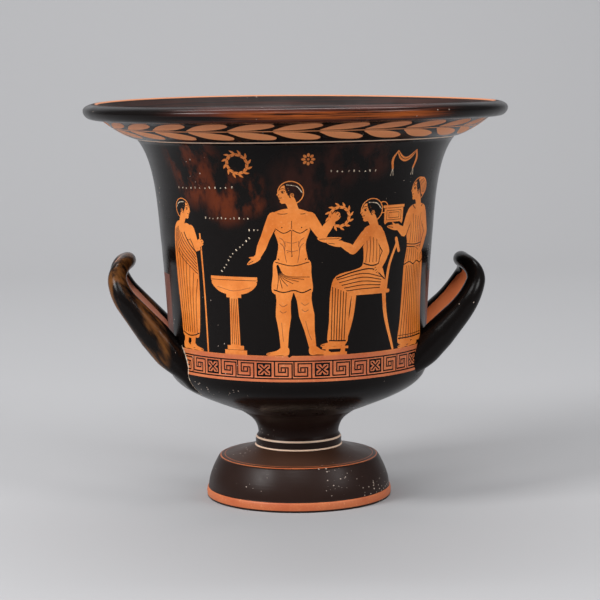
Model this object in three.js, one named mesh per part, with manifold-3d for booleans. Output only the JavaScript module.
// A Greek calyx-krater: a wide-mouthed bowl for mixing wine, thrown in black-glossed terracotta.
// Body, stemmed foot and the two horseshoe handles were luted together wet and fired as one piece,
// so the whole vessel is one solid. Millimetres, +Z up, origin under the middle of the foot,
// with the handles on the X axis.
import * as THREE from 'three';
import { mergeVertices } from 'three/addons/utils/BufferGeometryUtils.js';
import Module from 'manifold-3d';

const { degToRad, lerp, smoothstep, clamp } = THREE.MathUtils;

// Foot: resting ring, base band, rounded flank, sloping top, and the hollow turned out below it.
const FOOT_RADIUS = 71;
const FOOT_BAND_HEIGHT = 7.1;
const FOOT_BAND_BULGE = 0.9;
const FOOT_FLANK_RADIUS = 70;
const FOOT_EDGE_RADIUS = 61.8;
const FOOT_EDGE_HEIGHT = 31;
const RESTING_RING_INNER_RADIUS = 60;
const HOLLOW_MOUTH = [57, 5];
const HOLLOW_TOP = [14, 37];
const HOLLOW_APEX_HEIGHT = 38;

// Stem: a flat ring above the foot, then the neck that opens into the bowl.
const STEM_RING_RADIUS = 33;
const STEM_RING_BOTTOM = 39.8;
const STEM_RING_TOP = 45.8;
const STEM_NECK = [31, 49.2];

// Bowl and wall: [radius, height] where one curve hands over to the next.
const BOWL_START = [45.8, 68.2];
const BOWL_SHOULDER = [98.4, 108];
const WALL_MIDDLE = [104.6, 207.5];
const WALL_TOP = [119.8, 276];

// Flaring band under the mouth, and the lip: a roll that is flatter above than below.
const FLARE_START = [120.2, 277.4];
const FLARE_END = [147.5, 292.2];
const LIP_RADIUS = 161.3;
const LIP_MIDDLE_HEIGHT = 299.4;
const LIP_BOTTOM = [154.5, 292.9];
const LIP_CREST = [151.5, 304.3];

// Inside of the vessel.
const RIM_WALL_THICKNESS = 7;
const BOWL_WALL_THICKNESS = 9.5;
const FLOOR_HEIGHT = 72.5;

// The mouth is not quite level, as it came off the wheel: how far it lifts towards the back,
// and how far it dips towards the handles.
const RIM_BACK_LIFT = 0.8;
const RIM_HANDLE_DIP = 0.8;
const RIM_DIP_TURN = degToRad(17);

// Handles: a thick rod bent into an upright horseshoe. From the side each is a straight rise,
// a slow bend towards the vertical and a tight curl back at the tip; the two differ a little.
const HANDLES = [
  { turn: 0, tip: [127.6, 181], rise: 47, bend: 84, bendEnd: 67, curl: 11.3, curlEnd: 157 },
  { turn: 180, tip: [129.4, 184.1], rise: 51, bend: 43, bendEnd: 74, curl: 12.3, curlEnd: 157 },
];
const ROOT_HEIGHT = 97;
const LOOP_RADIUS = 35.6;
const ROOT_SPREAD = 3;
const ROD_THICKNESS = { root: 23.6, tip: 12 };
const ROD_WIDTH = { root: 25, tip: 12.5 };
const TIP_LENGTH = 3;
const TAPER_LENGTH = 62;
const UNDERSIDE_AT_ROOT = 0.55;
const FAIRING_LENGTH = 17;

// Faceting.
const BODY_SEGMENTS = 56;
const ROD_SIDES = 12;
const ROD_STEPS = 40;

const wasm = await Module();
wasm.setup();

const point = ([radius, height]) => new THREE.Vector2(radius, height);
const line = (...points) => new THREE.LineCurve(...points.map(point));
const cubic = (...points) => new THREE.CubicBezierCurve(...points.map(point));
const quadratic = (...points) => new THREE.QuadraticBezierCurve(...points.map(point));

// Joins curves end to end into one list of points, each curve cut into its number of steps.
function sample(pairs) {
  const points = [];
  for (const [curve, steps] of pairs) {
    const found = curve.getPoints(steps);
    const meets = points.length > 0 && points.at(-1).distanceTo(found[0]) < 1e-6;
    points.push(...found.slice(meets ? 1 : 0));
  }
  return points;
}

// The outside of the bowl from the stem to the lip, bottom to top.
const bowl = cubic(BOWL_START, [78, 81], [104, 89.5], BOWL_SHOULDER);
const lowerWall = quadratic(BOWL_SHOULDER, [100.4, 163], WALL_MIDDLE);
const upperWall = cubic(WALL_MIDDLE, [106.3, 230], [108.4, 260.4], WALL_TOP);
const flare = quadratic(FLARE_START, [132, 280], FLARE_END);

// Points moved into the clay by a share of the wall's thickness, which grows towards the bowl.
// A share of 1 gives the vessel's inside.
function insideOf(points, share = 1) {
  return points.map((here, i) => {
    const before = points[Math.max(i - 1, 0)];
    const after = points[Math.min(i + 1, points.length - 1)];
    const along = after.clone().sub(before).normalize();
    const height = THREE.MathUtils.inverseLerp(BOWL_START[1], FLARE_END[1], here.y);
    const depth = share * lerp(BOWL_WALL_THICKNESS, RIM_WALL_THICKNESS, height);
    return new THREE.Vector2(here.x - along.y * depth, here.y + along.x * depth);
  });
}

// Half the vessel's section, from the top of the hollow in the foot, round the outside,
// over the lip and down the inside to the middle of the floor.
function bodySection() {
  const hollow = quadratic(HOLLOW_TOP, [36, 30], HOLLOW_MOUTH);
  const footBand = quadratic([FOOT_RADIUS, 0],
    [FOOT_RADIUS + FOOT_BAND_BULGE, FOOT_BAND_HEIGHT / 2], [FOOT_RADIUS, FOOT_BAND_HEIGHT]);
  const footFlank = quadratic([FOOT_FLANK_RADIUS, FOOT_BAND_HEIGHT + 0.5],
    [FOOT_FLANK_RADIUS + 0.1, 16.7], [FOOT_EDGE_RADIUS, FOOT_EDGE_HEIGHT]);
  const footTop = quadratic([FOOT_EDGE_RADIUS - 1.7, FOOT_EDGE_HEIGHT + 0.8],
    [46, 33.8], [STEM_RING_RADIUS, STEM_RING_BOTTOM]);
  const stemRing = line([STEM_RING_RADIUS, STEM_RING_BOTTOM], [STEM_RING_RADIUS, STEM_RING_TOP]);
  const stem = cubic(STEM_NECK, [31.7, 60.6], [39.5, 63.7], BOWL_START);
  const lipQuarter = ([radius, height], from, to) => new THREE.EllipseCurve(radius, LIP_MIDDLE_HEIGHT,
    LIP_RADIUS - radius, Math.abs(height - LIP_MIDDLE_HEIGHT), from, to);
  const outside = sample([[footBand, 2], [footFlank, 4], [footTop, 3], [stemRing, 1],
    [stem, 4], [bowl, 7], [lowerWall, 3], [upperWall, 6], [flare, 3],
    [lipQuarter(LIP_BOTTOM, -Math.PI / 2, 0), 3], [lipQuarter(LIP_CREST, 0, Math.PI / 2), 4]]);
  const inside = insideOf(sample([[bowl, 5], [lowerWall, 2], [upperWall, 4], [flare, 2]])).reverse();
  return [
    point([0, HOLLOW_APEX_HEIGHT]),
    ...hollow.getPoints(4),
    point([RESTING_RING_INNER_RADIUS, 0]),
    ...outside,
    ...inside,
    point([inside.at(-1).x / 2, FLOOR_HEIGHT + 1]),
    point([0, FLOOR_HEIGHT]),
  ];
}

// A closed three.js geometry as a solid: only its positions, with doubled corners merged
// and the triangles that a pole folds flat left out.
function solid(geometry) {
  const bare = geometry.clone();
  bare.deleteAttribute('normal');
  bare.deleteAttribute('uv');
  const merged = mergeVertices(bare, 1e-4);
  const index = merged.index.array;
  const kept = [];
  for (let i = 0; i < index.length; i += 3) {
    const [a, b, c] = index.slice(i, i + 3);
    if (a !== b && b !== c && c !== a) kept.push(a, b, c);
  }
  return new wasm.Manifold(new wasm.Mesh({
    numProp: 3,
    vertProperties: merged.attributes.position.array,
    triVerts: Uint32Array.from(kept),
  }));
}

// How far the wall is lifted at a place: nothing up to the middle of the wall, then more and more
// towards the rim.
function rimLift(x, y, height) {
  const angle = Math.atan2(y, x);
  const lift = RIM_BACK_LIFT * Math.sin(angle) - RIM_HANDLE_DIP * Math.cos(2 * (angle - RIM_DIP_TURN));
  return lift * smoothstep(height, WALL_MIDDLE[1], LIP_MIDDLE_HEIGHT);
}

function bodySolid() {
  const body = new THREE.LatheGeometry(bodySection(), BODY_SEGMENTS).rotateX(Math.PI / 2);
  const corners = body.attributes.position;
  for (let i = 0; i < corners.count; i += 1) {
    const [x, y, z] = [corners.getX(i), corners.getY(i), corners.getZ(i)];
    corners.setZ(i, z + rimLift(x, y, z));
  }
  return solid(body);
}

// A handle's side view: the line that its rod follows away from the wall and up.
function handleSide({ tip, rise, bend, bendEnd, curl, curlEnd }) {
  const [riseAngle, bendAngle, curlAngle] = [rise, bendEnd, curlEnd].map(degToRad);
  const left = (angle, length) => new THREE.Vector2(-Math.sin(angle), Math.cos(angle)).multiplyScalar(length);
  const curlCentre = point(tip).add(left(curlAngle, curl));
  const bendCentre = curlCentre.clone().add(left(bendAngle, bend - curl));
  const bendStart = bendCentre.clone().sub(left(riseAngle, bend));
  const reach = (bendStart.y - ROOT_HEIGHT) / Math.tan(riseAngle);
  const arc = (centre, radius, from, to) => new THREE.EllipseCurve(
    centre.x, centre.y, radius, radius, from - Math.PI / 2, to - Math.PI / 2);
  const side = new THREE.CurvePath();
  side.add(new THREE.LineCurve(new THREE.Vector2(bendStart.x - reach, ROOT_HEIGHT), bendStart));
  side.add(arc(bendCentre, bend, riseAngle, bendAngle));
  side.add(arc(curlCentre, curl, bendAngle, curlAngle));
  return side;
}

// A handle: an upright cylinder of unit radius, bent along two arms that rise on the side line
// and meet in a half circle at the top. Its rod is thickest near the roots, where its underside
// is smoothed into the bowl.
function handleSolid(handle) {
  const side = handleSide(handle);
  const height = side.getLength();
  const armLength = height - LOOP_RADIUS;
  const loopLength = 2 * armLength + Math.PI * LOOP_RADIUS;

  // How far up the side line, and how far out along Y, the rod is at a distance along the loop.
  function routeAt(distance) {
    const fromRoot = Math.min(distance, loopLength - distance);
    const sign = distance < loopLength / 2 ? 1 : -1;
    if (fromRoot < armLength) {
      const spread = ROOT_SPREAD * (1 - smoothstep(fromRoot, 0, armLength));
      return { up: fromRoot, out: sign * (LOOP_RADIUS + spread) };
    }
    const turn = (fromRoot - armLength) / LOOP_RADIUS;
    return { up: armLength + LOOP_RADIUS * Math.sin(turn), out: sign * LOOP_RADIUS * Math.cos(turn) };
  }
  function pointAt(distance) {
    const { up, out } = routeAt(distance);
    const flat = side.getPointAt(up / height);
    return new THREE.Vector3(flat.x, out, flat.y);
  }

  const rod = new THREE.CylinderGeometry(1, 1, 1, ROD_SIDES, ROD_STEPS);
  const corners = rod.attributes.position;
  for (let i = 0; i < corners.count; i += 1) {
    const distance = clamp((corners.getY(i) + 0.5) * loopLength, 0.01, loopLength - 0.01);
    const { up } = routeAt(distance);
    const slope = side.getTangentAt(up / height);
    const normal = new THREE.Vector3(-slope.y, 0, slope.x);
    const along = pointAt(distance + 0.01).sub(pointAt(distance - 0.01)).normalize();
    const across = along.clone().cross(normal).normalize();
    const taper = clamp((height - up - TIP_LENGTH) / TAPER_LENGTH, 0, 1);
    const width = lerp(ROD_WIDTH.tip, ROD_WIDTH.root, taper);
    const thickness = lerp(ROD_THICKNESS.tip, ROD_THICKNESS.root, taper);
    const fairing = corners.getZ(i) < 0
      ? lerp(UNDERSIDE_AT_ROOT, 1, smoothstep(up, 0, FAIRING_LENGTH)) : 1;
    const place = pointAt(distance)
      .addScaledVector(across, corners.getX(i) * width / 2)
      .addScaledVector(normal, corners.getZ(i) * fairing * thickness / 2);
    corners.setXYZ(i, place.x, place.y, place.z);
  }
  return solid(rod).rotate([0, 0, handle.turn]);
}

// What lies behind the middle of the wall's thickness: a rod is cut off there, inside the clay.
function wallCore() {
  const middle = insideOf(sample([[bowl, 7], [lowerWall, 3]]), 0.5);
  const section = [point([0, middle[0].y]), ...middle, point([0, middle.at(-1).y])];
  return solid(new THREE.LatheGeometry(section, BODY_SEGMENTS).rotateX(Math.PI / 2));
}

function kraterSolid() {
  const core = wallCore();
  return HANDLES.reduce(
    (krater, handle) => krater.add(handleSolid(handle).subtract(core)), bodySolid());
}

function geometryOf(manifold) {
  const mesh = manifold.getMesh();
  const geometry = new THREE.BufferGeometry();
  geometry.setAttribute('position', new THREE.BufferAttribute(mesh.vertProperties, 3));
  geometry.setIndex(new THREE.BufferAttribute(mesh.triVerts, 1));
  geometry.computeVertexNormals();
  return geometry;
}

const blackGloss = new THREE.MeshStandardMaterial({ color: '#1a1412', roughness: 0.3, metalness: 0 });

const krater = new THREE.Mesh(geometryOf(kraterSolid()), blackGloss);
krater.name = 'krater';

const group = new THREE.Group();
group.add(krater);
export default group;
